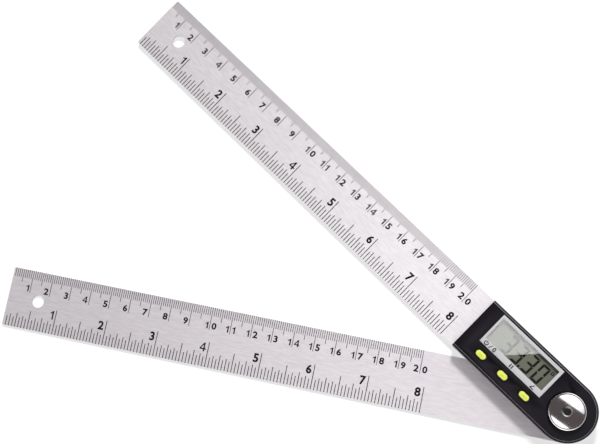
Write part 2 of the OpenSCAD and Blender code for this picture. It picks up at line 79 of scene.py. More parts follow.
class Nodes:
    """One node tree; a value given to it is a number, a tuple or another node's socket."""

    def __init__(self, tree):
        self.tree = tree

    def feed(self, socket, value):
        if isinstance(value, bpy.types.NodeSocket):
            self.tree.links.new(value, socket)
        elif isinstance(value, tuple) and socket.type == "RGBA":
            socket.default_value = (*value, 1.0)
        else:
            socket.default_value = value

    def add(self, kind, values=None, **settings):
        node = self.tree.nodes.new(kind)
        for name, setting in settings.items():
            setattr(node, name, setting)
        for key, value in (values or {}).items():
            self.feed(node.inputs[key], value)
        return node

    def calc(self, operation, *values):
        node = self.add("ShaderNodeMath", dict(enumerate(values)), operation=operation)
        return node.outputs[0]

    def vector(self, operation, *values):
        node = self.add("ShaderNodeVectorMath", dict(enumerate(values)), operation=operation)
        measured = operation in ("LENGTH", "DISTANCE", "DOT_PRODUCT")
        return node.outputs["Value" if measured else "Vector"]

    def ramp(self, value, low, high, to_low=0.0, to_high=1.0, smooth=False):
        limits = {"Value": value, "From Min": low, "From Max": high, "To Min": to_low,
                  "To Max": to_high}
        node = self.add("ShaderNodeMapRange", limits,
                        interpolation_type="SMOOTHSTEP" if smooth else "LINEAR")
        return node.outputs["Result"]

    def blend(self, factor, first, second):
        """The first colour where the factor is 0, the second where it is 1."""
        node = self.add("ShaderNodeMix", {0: factor, 6: first, 7: second}, data_type="RGBA")
        return node.outputs[2]

    def object_space(self):
        return self.add("ShaderNodeTexCoord").outputs["Object"]

    def noise(self, place, **values):
        return self.add("ShaderNodeTexNoise", {"Vector": place, **values}).outputs[0]

    def ray_is(self, *kinds):
        """1 where the ray is of one of these kinds, 0 elsewhere."""
        paths = self.add("ShaderNodeLightPath").outputs
        found = paths["Is %s Ray" % kinds[0]]
        for kind in kinds[1:]:
            found = self.calc("MAXIMUM", found, paths["Is %s Ray" % kind])
        return found


def effect_group(name, inputs, outputs, build):
    """A shader group; build takes its nodes and inputs and returns its outputs in order."""
    tree = bpy.data.node_groups.new(name, "ShaderNodeTree")
    for label, default in inputs.items():
        kind = "NodeSocketVector" if isinstance(default, tuple) else "NodeSocketFloat"
        socket = tree.interface.new_socket(name=label, in_out="INPUT", socket_type=kind)
        socket.default_value = default
    for label in outputs:
        tree.interface.new_socket(name=label, in_out="OUTPUT", socket_type="NodeSocketFloat")
    nodes = Nodes(tree)
    results = build(nodes, nodes.add("NodeGroupInput").outputs)
    nodes.add("NodeGroupOutput", dict(zip(outputs, results)))
    return tree


# ---- shared effects: masks and heights that change over the surface -------

def brushed_grain(nodes, given):
    """Fine parallel scratches with a few broader streaks, along one direction."""
    turned = nodes.add("ShaderNodeVectorRotate",
                       {"Vector": nodes.object_space(),
                        "Angle": nodes.calc("MULTIPLY", given["Turn"], -1.0)},
                       rotation_type="Z_AXIS")
    split = nodes.add("ShaderNodeSeparateXYZ", {0: turned.outputs[0]}).outputs

    def lines(along, across, detail):
        spread = nodes.add("ShaderNodeCombineXYZ", {
            axis: nodes.calc("MULTIPLY", split[axis], density)
            for axis, density in (("X", along), ("Y", across), ("Z", across))})
        return nodes.noise(spread.outputs[0], Scale=1.0, Detail=detail, Roughness=0.6)

    grain = lines(400.0, 3800.0, detail=2.0)
    streak = lines(220.0, 1064.0, detail=3.0)
    return grain, nodes.ramp(streak, 0.3, 0.7)


def turned_rings(nodes, given):
    """Tool marks of a lathe round the pivot axis, and slow patches."""
    place = nodes.object_space()
    radius = nodes.vector("LENGTH", nodes.vector("MULTIPLY", place, (1.0, 1.0, 0.0)))
    rings = nodes.add("ShaderNodeTexNoise",
                      {"W": nodes.calc("MULTIPLY", radius, given["Density"]),
                       "Detail": 2.0, "Roughness": 0.65}, noise_dimensions="1D")
    return rings.outputs[0], nodes.noise(place, Scale=260.0, Detail=2.0)


def moulded_texture(nodes, given):
    """The fine spark-eroded grain of a plastic mould, and slow unevenness."""
    place = nodes.object_space()
    return (nodes.noise(place, Scale=given["Size"], Detail=3.0, Roughness=0.55),
            nodes.noise(place, Scale=85.0, Detail=2.0, Distortion=0.6))


def handling_marks(nodes, given):
    """Faint smudges and hairline scratches left by use."""
    place = nodes.object_space()
    smudge = nodes.noise(place, Scale=given["Smudge Size"], Detail=4.0, Roughness=0.7,
                         Distortion=0.8)
    bent = nodes.add("ShaderNodeMapping", {"Vector": place, "Rotation": (0.0, 0.0, 0.7),
                                           "Scale": (0.06, 1.0, 1.0)})
    scratch = nodes.noise(bent.outputs[0], Scale=given["Scratch Size"], Detail=1.0,
                          Distortion=0.3)
    return nodes.ramp(smudge, 0.45, 0.7), nodes.ramp(scratch, 0.68, 0.74)


def pill_face(nodes, given):
    """A long rounded key's rim, by the distance from its middle line, and a short dash."""
    offset = nodes.vector("SUBTRACT", nodes.object_space(), given["Centre"])
    split = nodes.add("ShaderNodeSeparateXYZ", {0: offset}).outputs
    along = nodes.calc("ABSOLUTE", split["X"])
    across = nodes.calc("MULTIPLY", split["Y"], split["Y"])

    def distance(half_line):
        beyond = nodes.calc("MAXIMUM", nodes.calc("SUBTRACT", along, half_line), 0.0)
        return nodes.calc("SQRT", nodes.calc("ADD", nodes.calc("MULTIPLY", beyond, beyond),
                                             across))

    rim = nodes.ramp(distance(given["Half Line"]), given["Rim Start"], given["Rim Full"],
                     smooth=True)
    width = given["Dash Width"]
    dash = nodes.ramp(distance(given["Dash Length"]), width, nodes.calc("MULTIPLY", width, 1.6),
                      1.0, 0.0, smooth=True)
    return rim, dash


BRUSHED = effect_group("Brushed Grain", {"Turn": 0.0}, ("Grain", "Streak"), brushed_grain)
RINGS = effect_group("Turned Rings", {"Density": 6000.0}, ("Rings", "Patch"), turned_rings)
MOULDED = effect_group("Moulded Texture", {"Size": 4200.0}, ("Grain", "Flow"), moulded_texture)
HANDLED = effect_group("Handling Marks", {"Smudge Size": 60.0, "Scratch Size": 500.0},
                       ("Smudge", "Scratch"), handling_marks)
PILL = effect_group("Pill Face", {"Centre": (0.0, 0.0, 0.0), "Half Line": 1.15 * MM,
                                  "Rim Start": 0.5 * MM, "Rim Full": 0.95 * MM,
                                  "Dash Length": 0.55 * MM, "Dash Width": 0.17 * MM},
                    ("Rim", "Dash"), pill_face)


# ---- materials ------------------------------------------------------------

class Finish(Nodes):
    """A material with its shader, and short ways to wire effects into it."""

    def __init__(self, name, **values):
        self.material = bpy.data.materials.new(name)
        self.material.use_nodes = True
        super().__init__(self.material.node_tree)
        self.shader = self.tree.nodes["Principled BSDF"]
        self.set(**values)

    def set(self, **values):
        for key, value in values.items():
            self.feed(self.shader.inputs[key.replace("_", " ")], value)

    def effect(self, group, **values):
        node = self.add("ShaderNodeGroup", node_tree=group)
        for key, value in values.items():
            self.feed(node.inputs[key.replace("_", " ")], value)
        return node.outputs

    def color(self, factor, first, second):
        self.set(Base_Color=self.blend(factor, first, second))

    def roughness(self, value, low, high):
        self.set(Roughness=self.ramp(value, 0.0, 1.0, low, high))

    def bump(self, height, depth_mm):
        node = self.add("ShaderNodeBump", {"Strength": 1.0, "Distance": depth_mm * MM,
                                           "Height": height})
        self.set(Normal=node.outputs[0])

    def clear_where(self, factor, tint=(1.0, 1.0, 1.0)):
        """Let light straight through where the factor is 1."""
        clear = self.add("ShaderNodeBsdfTransparent", {"Color": tint})
        mix = self.add("ShaderNodeMixShader", {0: factor, 1: self.shader.outputs[0],
                                               2: clear.outputs[0]})
        self.feed(self.tree.nodes["Material Output"].inputs["Surface"], mix.outputs[0])


def brushed_steel(name, turn, shine, dark, light):
    """Satin rule steel: part mirror, part dull, with short strokes of the brush."""
    finish = Finish(name, Metallic=shine)
    grain = finish.effect(BRUSHED, Turn=turn)
    marks = finish.effect(HANDLED, Smudge_Size=45.0)
    tone = finish.blend(grain["Streak"], dark, light)
    finish.color(finish.calc("MULTIPLY", marks["Smudge"], 0.3), tone, dark)
    finish.roughness(grain["Grain"], 0.26, 0.36)
    finish.bump(grain["Grain"], 0.006)
    return finish.material


def turned_metal(name, light, dark, low, high, depth_mm=0.004):
    """Metal with lathe marks; low and high are the limits of its roughness."""
    finish = Finish(name, Metallic=1.0)
    rings = finish.effect(RINGS)
    finish.color(rings["Patch"], dark, light)
    finish.roughness(rings["Rings"], low, high)
    finish.bump(rings["Rings"], depth_mm)
    return finish.material


def moulded_plastic(name, dark, light, low, high, depth_mm=0.01, size=4200.0, specular=0.3):
    """Plastic with a mould's grain; low and high are the limits of its roughness."""
    finish = Finish(name, Specular_IOR_Level=specular)
    texture = finish.effect(MOULDED, Size=size)
    finish.color(texture["Flow"], dark, light)
    finish.roughness(texture["Grain"], low, high)
    finish.bump(texture["Grain"], depth_mm)
    return finish.material


def thin_film(name, first, second, low=0.45, high=0.6, size=7000.0, depth_mm=0.0, **values):
    """Paint, ink or a coating: its tone follows a fine grain, its gloss changes slowly."""
    finish = Finish(name, **values)
    texture = finish.effect(MOULDED, Size=size)
    finish.color(texture["Grain"], first, second)
    finish.roughness(texture["Flow"], low, high)
    if depth_mm:
        finish.bump(texture["Grain"], depth_mm)
    return finish.material


def chrome_plate():
    finish = Finish("chrome plate", Metallic=1.0)
    rings = finish.effect(RINGS, Density=4200.0)
    marks = finish.effect(HANDLED, Smudge_Size=180.0, Scratch_Size=900.0)
    finish.color(marks["Smudge"], (0.88, 0.875, 0.88), (0.82, 0.815, 0.825))
    finish.roughness(marks["Smudge"], 0.05, 0.1)
    finish.bump(rings["Rings"], 0.0006)
    return finish.material


def clear_window():
    finish = Finish("clear window", IOR=1.58, Transmission_Weight=1.0, Specular_IOR_Level=0.5)
    marks = finish.effect(HANDLED, Smudge_Size=120.0, Scratch_Size=1400.0)
    finish.color(marks["Smudge"], (0.985, 0.99, 0.985), (0.96, 0.97, 0.96))
    finish.roughness(marks["Scratch"], 0.012, 0.05)
    finish.clear_where(finish.ray_is("Shadow", "Diffuse"), (0.93, 0.94, 0.93))
    return finish.material


def key_rubber(name, centre):
    """Yellow-green rubber, paler towards the rim as a painted highlight, with a small moulded
    dash.
    """
    finish = Finish("key rubber of the " + name, Specular_IOR_Level=0.45)
    texture = finish.effect(MOULDED, Size=5200.0)
    pill = finish.effect(PILL, Centre=centre)
    face = finish.blend(texture["Flow"], (0.83, 0.92, 0.075), (0.89, 0.98, 0.105))
    marked = finish.blend(finish.calc("MULTIPLY", pill["Dash"], 0.7), face, (0.66, 0.78, 0.055))
    # The paler rim colour is a painted highlight where the rounded rim catches the light.
    finish.color(pill["Rim"], marked, (0.95, 1.0, 0.27))
    finish.roughness(texture["Grain"], 0.3, 0.42)
    raised = finish.calc("MULTIPLY", pill["Dash"], 8.0)
    finish.bump(finish.calc("ADD", texture["Grain"], raised), 0.006)
    return finish.material


def circuit_laminate():
    finish = Finish("circuit laminate", Specular_IOR_Level=0.5)
    cells = finish.add("ShaderNodeTexVoronoi", {"Vector": finish.object_space(), "Scale": 700.0},
                       feature="DISTANCE_TO_EDGE", distance="EUCLIDEAN")
    track = finish.ramp(cells.outputs[0], 0.08, 0.12)
    finish.color(track, (0.03, 0.20, 0.075), (0.012, 0.10, 0.035))
    finish.roughness(track, 0.3, 0.38)
    finish.bump(track, 0.02)
    return finish.material


def striped_rubber():
    """Conducting and insulating layers, side by side along the strip."""
    finish = Finish("layered contact rubber")
    wave = finish.add("ShaderNodeTexWave", {"Vector": finish.object_space(), "Scale": 900.0},
                      bands_direction="X").outputs["Fac"]
    finish.color(wave, (0.03, 0.03, 0.03), (0.55, 0.3, 0.3))
    finish.roughness(wave, 0.7, 0.55)
    return finish.material


STEEL_UPPER = brushed_steel("steel brushed along the display arm", 0.0, 0.42,
                            (0.83, 0.785, 0.82), (0.97, 0.925, 0.96))
# The lower arm's steel is given a darker tone than the display arm's: painted shade.
STEEL_LOWER = brushed_steel("steel brushed along the lower arm", OPEN_ANGLE, 0.27,
                            (0.765, 0.712, 0.755), (0.888, 0.836, 0.879))
STEEL_TURNED = turned_metal("turned steel", (0.66, 0.66, 0.67), (0.55, 0.55, 0.56), 0.22, 0.42)
CAP_STEEL = turned_metal("bright screw steel", (0.66, 0.64, 0.64), (0.56, 0.54, 0.55),
                         0.05, 0.1, depth_mm=0.0005)
BRASS = turned_metal("turned brass", (0.74, 0.56, 0.27), (0.60, 0.43, 0.18), 0.25, 0.4)
BRONZE = turned_metal("spring bronze", (0.80, 0.62, 0.36), (0.68, 0.5, 0.27), 0.25, 0.36)
CELL_STEEL = turned_metal("plated cell steel", (0.72, 0.72, 0.72), (0.6, 0.6, 0.61), 0.18, 0.3)
SCREW_DARK = turned_metal("blackened steel", (0.045, 0.043, 0.045), (0.025, 0.024, 0.026),
                          0.35, 0.5)
CHROME = chrome_plate()

HOUSING = moulded_plastic("housing plastic", (0.0095, 0.0085, 0.011), (0.0145, 0.0125, 0.0165),
                          0.42, 0.58, depth_mm=0.008, specular=0.16)
# Light grey on the bevel's borders: a painted highlight standing in for the glint of light along
# the housing's edges.
HOUSING_EDGE_HIGHLIGHT = moulded_plastic("housing plastic with painted edge highlights", (0.30, 0.29, 0.30),
                               (0.42, 0.405, 0.42), 0.25, 0.38, depth_mm=0.004, specular=0.4)
INNER_BLACK = moulded_plastic("inner plastic", (0.014, 0.014, 0.014), (0.024, 0.024, 0.024),
                              0.5, 0.65, depth_mm=0.015)
EPOXY = moulded_plastic("potting resin", (0.010, 0.010, 0.011), (0.02, 0.02, 0.02), 0.2, 0.35,
                        size=900.0)
NYLON = moulded_plastic("slippery plastic", (0.74, 0.73, 0.68), (0.82, 0.81, 0.77), 0.35, 0.5,
                        size=2500.0)
FOAM = moulded_plastic("foam", (0.012, 0.012, 0.012), (0.03, 0.03, 0.03), 0.85, 0.98,
                       depth_mm=0.12, size=2600.0)

SILVER = thin_film("silver paint", (0.64, 0.63, 0.65), (0.79, 0.78, 0.795), 0.42, 0.55, 9000.0,
                   depth_mm=0.003, Metallic=0.25, Specular_IOR_Level=0.35)
PANEL = thin_film("display glass", (0.180, 0.184, 0.148), (0.208, 0.212, 0.172), 0.28, 0.36,
                  6500.0, Specular_IOR_Level=0.15)
ETCHED = thin_film("etched black", (0.008, 0.0075, 0.009), (0.018, 0.017, 0.019),
                   Specular_IOR_Level=0.12)
SEGMENT = thin_film("display segment", (0.003, 0.004, 0.003), (0.005, 0.007, 0.005),
                    Specular_IOR_Level=0.03)
SEGMENT_PAINTED_SHADOW = thin_film("painted segment shadow", (0.085, 0.092, 0.066), (0.105, 0.113, 0.08),
                          Specular_IOR_Level=0.1)
BEZEL_INK = thin_film("bezel ink", (0.018, 0.017, 0.02), (0.04, 0.037, 0.042),
                      Specular_IOR_Level=0.3)
RELIEF = thin_film("moulded relief", (0.05, 0.05, 0.052), (0.08, 0.08, 0.083),
                   Specular_IOR_Level=0.3)

WINDOW = clear_window()
BOARD = circuit_laminate()
CONTACT = striped_rubber()
KEYS = {name: key_rubber(name.replace("_", " "), sum(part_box(name), Vector()) / 2)
        for name in ("button_near", "button_middle", "button_far")}

CARRIED = {
    "upper_blade": STEEL_UPPER, "lower_blade": STEEL_LOWER, "blade_washer": BRASS,
    "pivot_shaft": STEEL_TURNED, "pivot_bush": BRASS, "rotor_hub": BRASS,
    "encoder_rotor": BOARD, "knob_bush": BRASS, "knob_washer": NYLON,
    "display_window": WINDOW, "display_panel": PANEL, "contact_strip": CONTACT,
    "foam_strip": FOAM, "circuit_board": BOARD, "potted_chip": EPOXY,
    "board_screws": SCREW_DARK, "dome_switches": CELL_STEEL, "cell_holder": INNER_BLACK,
    "coin_cell": CELL_STEEL, "cell_spring": BRONZE, "cell_clip": BRONZE,
    "battery_lid": INNER_BLACK, "housing_screws": SCREW_DARK,
    "front_housing": HOUSING, "lock_knob": CHROME, "knob_screw": CAP_STEEL,
    "display_bezel": SILVER, **KEYS,
}
for node_name, material in CARRIED.items():
    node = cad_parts[node_name]
    if not node.material_slots:
        node.data.materials.append(material)
    for slot in node.material_slots:
        slot.material = material


# ---- meshes and pieces ----------------------------------------------------

def placed(name, data):
    """A new object of this mesh, curve, lamp or camera, in the scene."""
    thing = bpy.data.objects.new(name, data)
    bpy.context.scene.collection.objects.link(thing)
    return thing


def evaluated_mesh(thing):
    """The mesh that an object's text or modifiers make; the object itself goes."""
    bpy.context.view_layer.update()
    mesh = bpy.data.meshes.new_from_object(
        thing.evaluated_get(bpy.context.evaluated_depsgraph_get()))
    bpy.data.objects.remove(thing)
    return mesh


def piece(name, mesh, material, body, slot, *replaced):
    """One visible piece; a tuple of materials goes with the faces' material numbers."""
    thing = placed(name, mesh)
    if mesh.materials:
        mesh.materials.clear()
    for coat in (material if isinstance(material, tuple) else (material,)):
        mesh.materials.append(coat)
    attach(thing, body)
    if replaced:
        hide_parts(*replaced)


def node_copy(node_name):
    """The node's own shape with its points merged, ready to be worked on."""
    work = bmesh.new()
    work.from_mesh(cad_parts[node_name].data)
    bmesh.ops.remove_doubles(work, verts=work.verts, dist=1e-6)
    return work


def mesh_from(name, work, sharp_degrees=None):
    """The finished work as a mesh, shaded as round up to an angle if one is given."""
    mesh = bpy.data.meshes.new(name)
    work.to_mesh(mesh)
    work.free()
    if sharp_degrees is not None:
        mesh.shade_smooth()
        mesh.set_sharp_from_angle(angle=math.radians(sharp_degrees))
    return mesh


def sealed(name, work, sharp_degrees=None):
    """The same, after its points are merged and its faces turned outwards."""
    bmesh.ops.remove_doubles(work, verts=work.verts, dist=1e-7)
    bmesh.ops.recalc_face_normals(work, faces=work.faces)
    return mesh_from(name, work, sharp_degrees)


def prism(work, outline, levels):
    """An upright block over one flat outline, between two levels."""
    low, high = ([work.verts.new((x, y, z)) for x, y in outline] for z in levels)
    work.faces.new(low[::-1])
    work.faces.new(high)
    for i in range(len(outline)):
        work.faces.new((low[i - 1], low[i], high[i], high[i - 1]))


def lathe(work, profile, steps, radius_at):
    """Spin a closed profile of (radius, height) pairs; radius_at shapes each point."""
    rings = []
    for i in range(steps):
        turn = 2 * math.pi * i / steps
        ring = []
        for radius, height in profile:
            r = radius_at(radius, height, turn)
            ring.append(work.verts.new((r * math.cos(turn), r * math.sin(turn), height)))
        rings.append(ring)
    on_axis = [radius == 0.0 for radius, height in profile]
    for i in range(steps):
        first, second = rings[i - 1], rings[i]
        for k in range(len(profile)):
            corners = [first[k - 1], second[k - 1], second[k], first[k]]
            if on_axis[k - 1] and on_axis[k]:
                continue
            if on_axis[k - 1]:
                del corners[1]
            elif on_axis[k]:
                del corners[2]
            work.faces.new(corners)


def arc_points(cx, cy, radius, start, end, count):
    """Points of an arc, angles in degrees, both ends included."""
    turns = [math.radians(start + (end - start) * i / count) for i in range(count + 1)]
    return [(cx + radius * math.cos(turn), cy + radius * math.sin(turn)) for turn in turns]


# ---- housing, bezel and buttons -------------------------------------------

BEVEL_DROP = 1.3 * MM
# Height of the band of the painted edge highlight above the bevel's foot.
HIGHLIGHT_RISE = 0.16 * MM
TOP_BAND = 0.3 * MM
FOOT_BAND = 0.15 * MM
TOP_LEAN = (0.66, 0.99)
FOOT_LEAN = (0.03, 0.9)
BEZEL_EDGE = 0.14 * MM


def housing_mesh():
    """The housing's own shape; its faces that lean along the bevel's borders get the painted
    edge highlight.
    """
    work = node_copy("front_housing")
    foot = house_high.z - BEVEL_DROP
    bmesh.ops.bisect_plane(work, geom=work.verts[:] + work.edges[:] + work.faces[:],
                           plane_co=(0, 0, foot + HIGHLIGHT_RISE), plane_no=(0, 0, 1))
    for face in work.faces:
        z = face.calc_center_median().z
        upper = TOP_LEAN[0] < face.normal.z < TOP_LEAN[1] and z > house_high.z - TOP_BAND
        lower = (FOOT_LEAN[0] < face.normal.z < FOOT_LEAN[1]
                 and foot - FOOT_BAND < z < foot + HIGHLIGHT_RISE)
        face.material_index = 1 if upper or lower else 0
    return mesh_from("housing_shell", work, 35)


def bezel_mesh():
    """The bezel's own shape with the edges of its upper face softened."""
    work = node_copy("display_bezel")
    bmesh.ops.dissolve_limit(work, angle_limit=0.01, verts=work.verts, edges=work.edges)
    upper = [edge for edge in work.edges
             if all(vert.co.z > bezel_high.z - 0.01 * MM for vert in edge.verts)
             and len(edge.link_faces) == 2
             and abs(edge.link_faces[0].normal.z - edge.link_faces[1].normal.z) > 0.5]
    bmesh.ops.bevel(work, geom=upper, offset=BEZEL_EDGE, segments=3, profile=0.5,
                    affect="EDGES", clamp_overlap=True)
    return sealed("bezel_frame", work, 40)


piece("housing_shell", housing_mesh(), (HOUSING, HOUSING_EDGE_HIGHLIGHT), "display_arm",
      "housing_black", "front_housing")
piece("bezel_frame", bezel_mesh(), SILVER, "display_arm", "bezel_silver", "display_bezel")
for key, body in (("button_near", "near_key"), ("button_middle", "middle_key"),
                  ("button_far", "far_key")):
    piece(key + "_cap", mesh_from(key + "_cap", node_copy(key), 50), KEYS[key], body,
          "key_green", key)


# ---- knob and its screw ---------------------------------------------------

GROOVES = 48
GROOVE_DEPTH = 0.15 * MM
GROOVE_HALF = 0.27
STEPS_PER_GROOVE = 8
EDGE_R = 0.3 * MM
RIM_W = 0.45 * MM
LIP = 0.15 * MM
DISH = 0.5 * MM
DISH_STEPS = 24
ROUND_STEPS = 6
BORE_R = 2.5 * MM
BORE_DEPTH = 0.95 * MM
BORE_EDGE = 0.06 * MM
SHAFT_HOLE_R = 2.05 * MM
HUB_R = 4.2 * MM
HUB_SLOPE = 0.5 * MM
HUB_RISE = 0.4 * MM
HOLLOW_DEPTH = 0.9 * MM
SKIRT_R = KNOB_R - 0.9 * MM
BAND_RISE = 0.4 * MM
BAND_DROP = 0.6 * MM
BAND_STEP = 0.02 * MM


def knob_mesh():
    """A milled grip round a shallow parabolic dish, hollow below round its hub."""
    top, low = knob_high.z, knob_low.z
    seat = low + HUB_RISE
    ceiling = seat + HOLLOW_DEPTH
    band_low, band_high = low + BAND_RISE, top - BAND_DROP
    groove_low, groove_high = band_low + BAND_STEP, band_high - BAND_STEP
    profile = [(SHAFT_HOLE_R, seat), (HUB_R, seat), (HUB_R + HUB_SLOPE, ceiling),
               (SKIRT_R, ceiling), (SKIRT_R, low), (KNOB_R - LIP, low), (KNOB_R, low + LIP),
               (KNOB_R, band_low - BAND_STEP)]
    profile += [(KNOB_R, groove_low + (groove_high - groove_low) * i / 3) for i in range(4)]
    profile += arc_points(KNOB_R - EDGE_R, top - EDGE_R, EDGE_R, 0, 90, ROUND_STEPS)
    dish_r = KNOB_R - EDGE_R - RIM_W
    inner_r = BORE_R + BORE_EDGE
    for i in range(DISH_STEPS + 1):
        radius = dish_r - (dish_r - inner_r) * i / DISH_STEPS
        profile.append((radius, top - DISH * (1 - (radius / dish_r) ** 2)))
    floor_z = top - DISH - BORE_DEPTH
    profile += [(BORE_R, top - DISH - LIP), (BORE_R, floor_z), (SHAFT_HOLE_R, floor_z)]

    def milled(radius, height, turn):
        if radius < KNOB_R - 1e-6 or not band_low < height < band_high:
            return radius
        pitch = 2 * math.pi / GROOVES
        away = abs((turn + pitch / 2) % pitch - pitch / 2) / (pitch * GROOVE_HALF)
        return radius - GROOVE_DEPTH * max(0.0, 1 - away * away)

    work = bmesh.new()
    lathe(work, profile, GROOVES * STEPS_PER_GROOVE, milled)
    return sealed("knob_grip", work, 32)


HEAD_H = 0.9 * MM
CAP_EDGE = 0.25 * MM
PIN_R = 0.8 * MM
RECESS_R = 1.45 * MM
RECESS_EDGE = 0.12 * MM
RECESS_FLOOR = 0.4 * MM
RECESS_SLOPE = 0.05 * MM
KEY_HOLE_R = 1.0 * MM
KEY_HOLE_FLOOR = 0.2 * MM
KEY_HOLE_SLOPE = 0.06 * MM
CAP_STEPS = 72


def cap_mesh():
    """Round head with a turned recess and a six-sided key hole at its floor; the inside of the
    recess is painted dark as shade.
    """
    top = cap_high.z
    base = top - HEAD_H
    floor_z = base + RECESS_FLOOR
    hole_z = base + KEY_HOLE_FLOOR
    profile = [(0.0, cap_low.z), (PIN_R, cap_low.z), (PIN_R, base), (CAP_R, base)]
    profile += arc_points(CAP_R - CAP_EDGE, top - CAP_EDGE, CAP_EDGE, 0, 90, ROUND_STEPS)
    profile += [(RECESS_R + RECESS_EDGE, top), (RECESS_R, top - RECESS_EDGE),
                (RECESS_R, floor_z + RECESS_SLOPE), (KEY_HOLE_R, floor_z),
                (KEY_HOLE_R, hole_z), (0.0, hole_z - KEY_HOLE_SLOPE)]

    def hexed(radius, height, turn):
        if radius != KEY_HOLE_R:
            return radius
        side = turn % (math.pi / 3) - math.pi / 6
        return radius * math.cos(math.pi / 6) / math.cos(side)

    work = bmesh.new()
    lathe(work, profile, CAP_STEPS, hexed)
    # Faces inside the recess take the dark finish: painted shade in the hollow.
    for face in work.faces:
        inside = max(vert.co.xy.length for vert in face.verts) < RECESS_R + 0.01 * MM
        if inside and face.calc_center_median().z > base:
            face.material_index = 1
    return sealed("knob_cap", work, 35)


piece("knob_grip", knob_mesh(), CHROME, "locking_knob", "chrome", "lock_knob")
piece("knob_cap", cap_mesh(), (CAP_STEEL, SCREW_DARK), "lower_arm", "chrome", "knob_screw")


# ---- graduations ----------------------------------------------------------

MARK_SINK = 0.004 * MM
MARK_RISE = 0.012 * MM
INCH = 25.4 * MM
# Pitch and number of ticks, then the length in mm of every tick, every fifth and so on.
CM_RULE = (1.0 * MM, 200, ((1, 4.0), (5, 6.2), (10, 10.7)))
INCH_RULE = (INCH / 16, 128, ((1, 4.7), (2, 5.7), (4, 6.7), (8, 8.7), (16, 11.7)))
LONGER_KINDS = 4
EDGE_MARGIN = 0.02 * MM
TICK_W = {-1: 0.27 * MM, 1: 0.36 * MM}


def mark_levels(face_z):
    return face_z - MARK_SINK, face_z + MARK_RISE


def graduation_tree():
    """Ticks along one blade edge; every so many ticks are longer, by four rules."""
    tree = bpy.data.node_groups.new("Graduations", "GeometryNodeTree")
    longer = range(1, LONGER_KINDS + 1)
    inputs = {
        "Geometry": ["Geometry"],
        "Float": ["Pitch", "Zero", "Edge", "Inward", "Width", "Low", "High", "Turn", "Length 0"]
                 + ["Length %d" % i for i in longer],
        "Int": ["Count"] + ["Every %d" % i for i in longer],
        "Material": ["Ink"],
    }
    for kind, labels in inputs.items():
        for label in labels:
            tree.interface.new_socket(name=label, in_out="INPUT",
                                      socket_type="NodeSocket" + kind)
    tree.interface.new_socket(name="Geometry", in_out="OUTPUT",
                              socket_type="NodeSocketGeometry")
    nodes = Nodes(tree)
    given = nodes.add("NodeGroupInput").outputs

    def vector(x, y, z):
        return nodes.add("ShaderNodeCombineXYZ", {"X": x, "Y": y, "Z": z}).outputs[0]

    step = nodes.calc("MULTIPLY", given["Pitch"], -1.0)
    middle = nodes.calc("MULTIPLY", nodes.calc("ADD", given["Low"], given["High"]), 0.5)
    start = vector(nodes.calc("ADD", given["Zero"], step), given["Edge"], middle)
    line = nodes.add("GeometryNodeMeshLine",
                     {"Count": given["Count"], "Start Location": start,
                      "Offset": vector(step, 0.0, 0.0)}, mode="OFFSET", count_mode="TOTAL")

    tick = nodes.calc("ADD", nodes.add("GeometryNodeInputIndex").outputs[0], 1.0)
    length = given["Length 0"]
    for i in longer:
        left_over = nodes.calc("MODULO", tick, given["Every %d" % i])
        whole = nodes.add("FunctionNodeCompare", {"A": left_over, "B": 0.5}, data_type="FLOAT",
                          operation="LESS_THAN").outputs[0]
        length = nodes.add("GeometryNodeSwitch",
                           {"Switch": whole, "False": length, "True": given["Length %d" % i]},
                           input_type="FLOAT").outputs[0]

    half = nodes.calc("MULTIPLY", nodes.calc("MULTIPLY", length, 0.5), given["Inward"])
    place = nodes.add("GeometryNodeSetPosition", {"Geometry": line.outputs[0],
                                                  "Offset": vector(0.0, half, 0.0)})
    size = vector(given["Width"], length, nodes.calc("SUBTRACT", given["High"], given["Low"]))
    spread = nodes.add("GeometryNodeInstanceOnPoints",
                       {"Points": place.outputs[0], "Scale": size,
                        "Instance": nodes.add("GeometryNodeMeshCube").outputs[0]})
    real = nodes.add("GeometryNodeRealizeInstances", {0: spread.outputs[0]})
    turned = nodes.add("GeometryNodeTransform", {"Geometry": real.outputs[0],
                                                 "Rotation": vector(0.0, 0.0, given["Turn"])})
    inked = nodes.add("GeometryNodeSetMaterial", {"Geometry": turned.outputs[0],
                                                  "Material": given["Ink"]})
    nodes.add("NodeGroupOutput", {"Geometry": inked.outputs[0]})
    return tree


GRADUATIONS = graduation_tree()


def graduations(name, rule, side, face_z, turn, body):
    """side is -1 for the centimetre edge and +1 for the inch edge."""
    pitch, count, lengths = rule
    low, high = mark_levels(face_z)
    values = {"Pitch": pitch, "Count": count, "Zero": FREE_END,
              "Edge": side * (BLADE_R - EDGE_MARGIN), "Inward": -float(side),
              "Width": TICK_W[side], "Low": low, "High": high, "Turn": turn, "Ink": ETCHED}
    for i in range(LONGER_KINDS + 1):
        every, length = lengths[min(i, len(lengths) - 1)]
        values["Every %d" % i] = every
        values["Length %d" % i] = length * MM
    maker = placed(name + "_maker", bpy.data.meshes.new(name + "_maker"))
    modifier = maker.modifiers.new("Graduations", "NODES")
    modifier.node_group = GRADUATIONS
    for socket in GRADUATIONS.interface.items_tree:
        if socket.in_out == "INPUT" and socket.name in values:
            modifier[socket.identifier] = values[socket.name]
    mesh = evaluated_mesh(maker)
    mesh.name = name
    piece(name, mesh, ETCHED, body, "stainless")


# ---- figures --------------------------------------------------------------

FIGURE_WEIGHT = 0.036


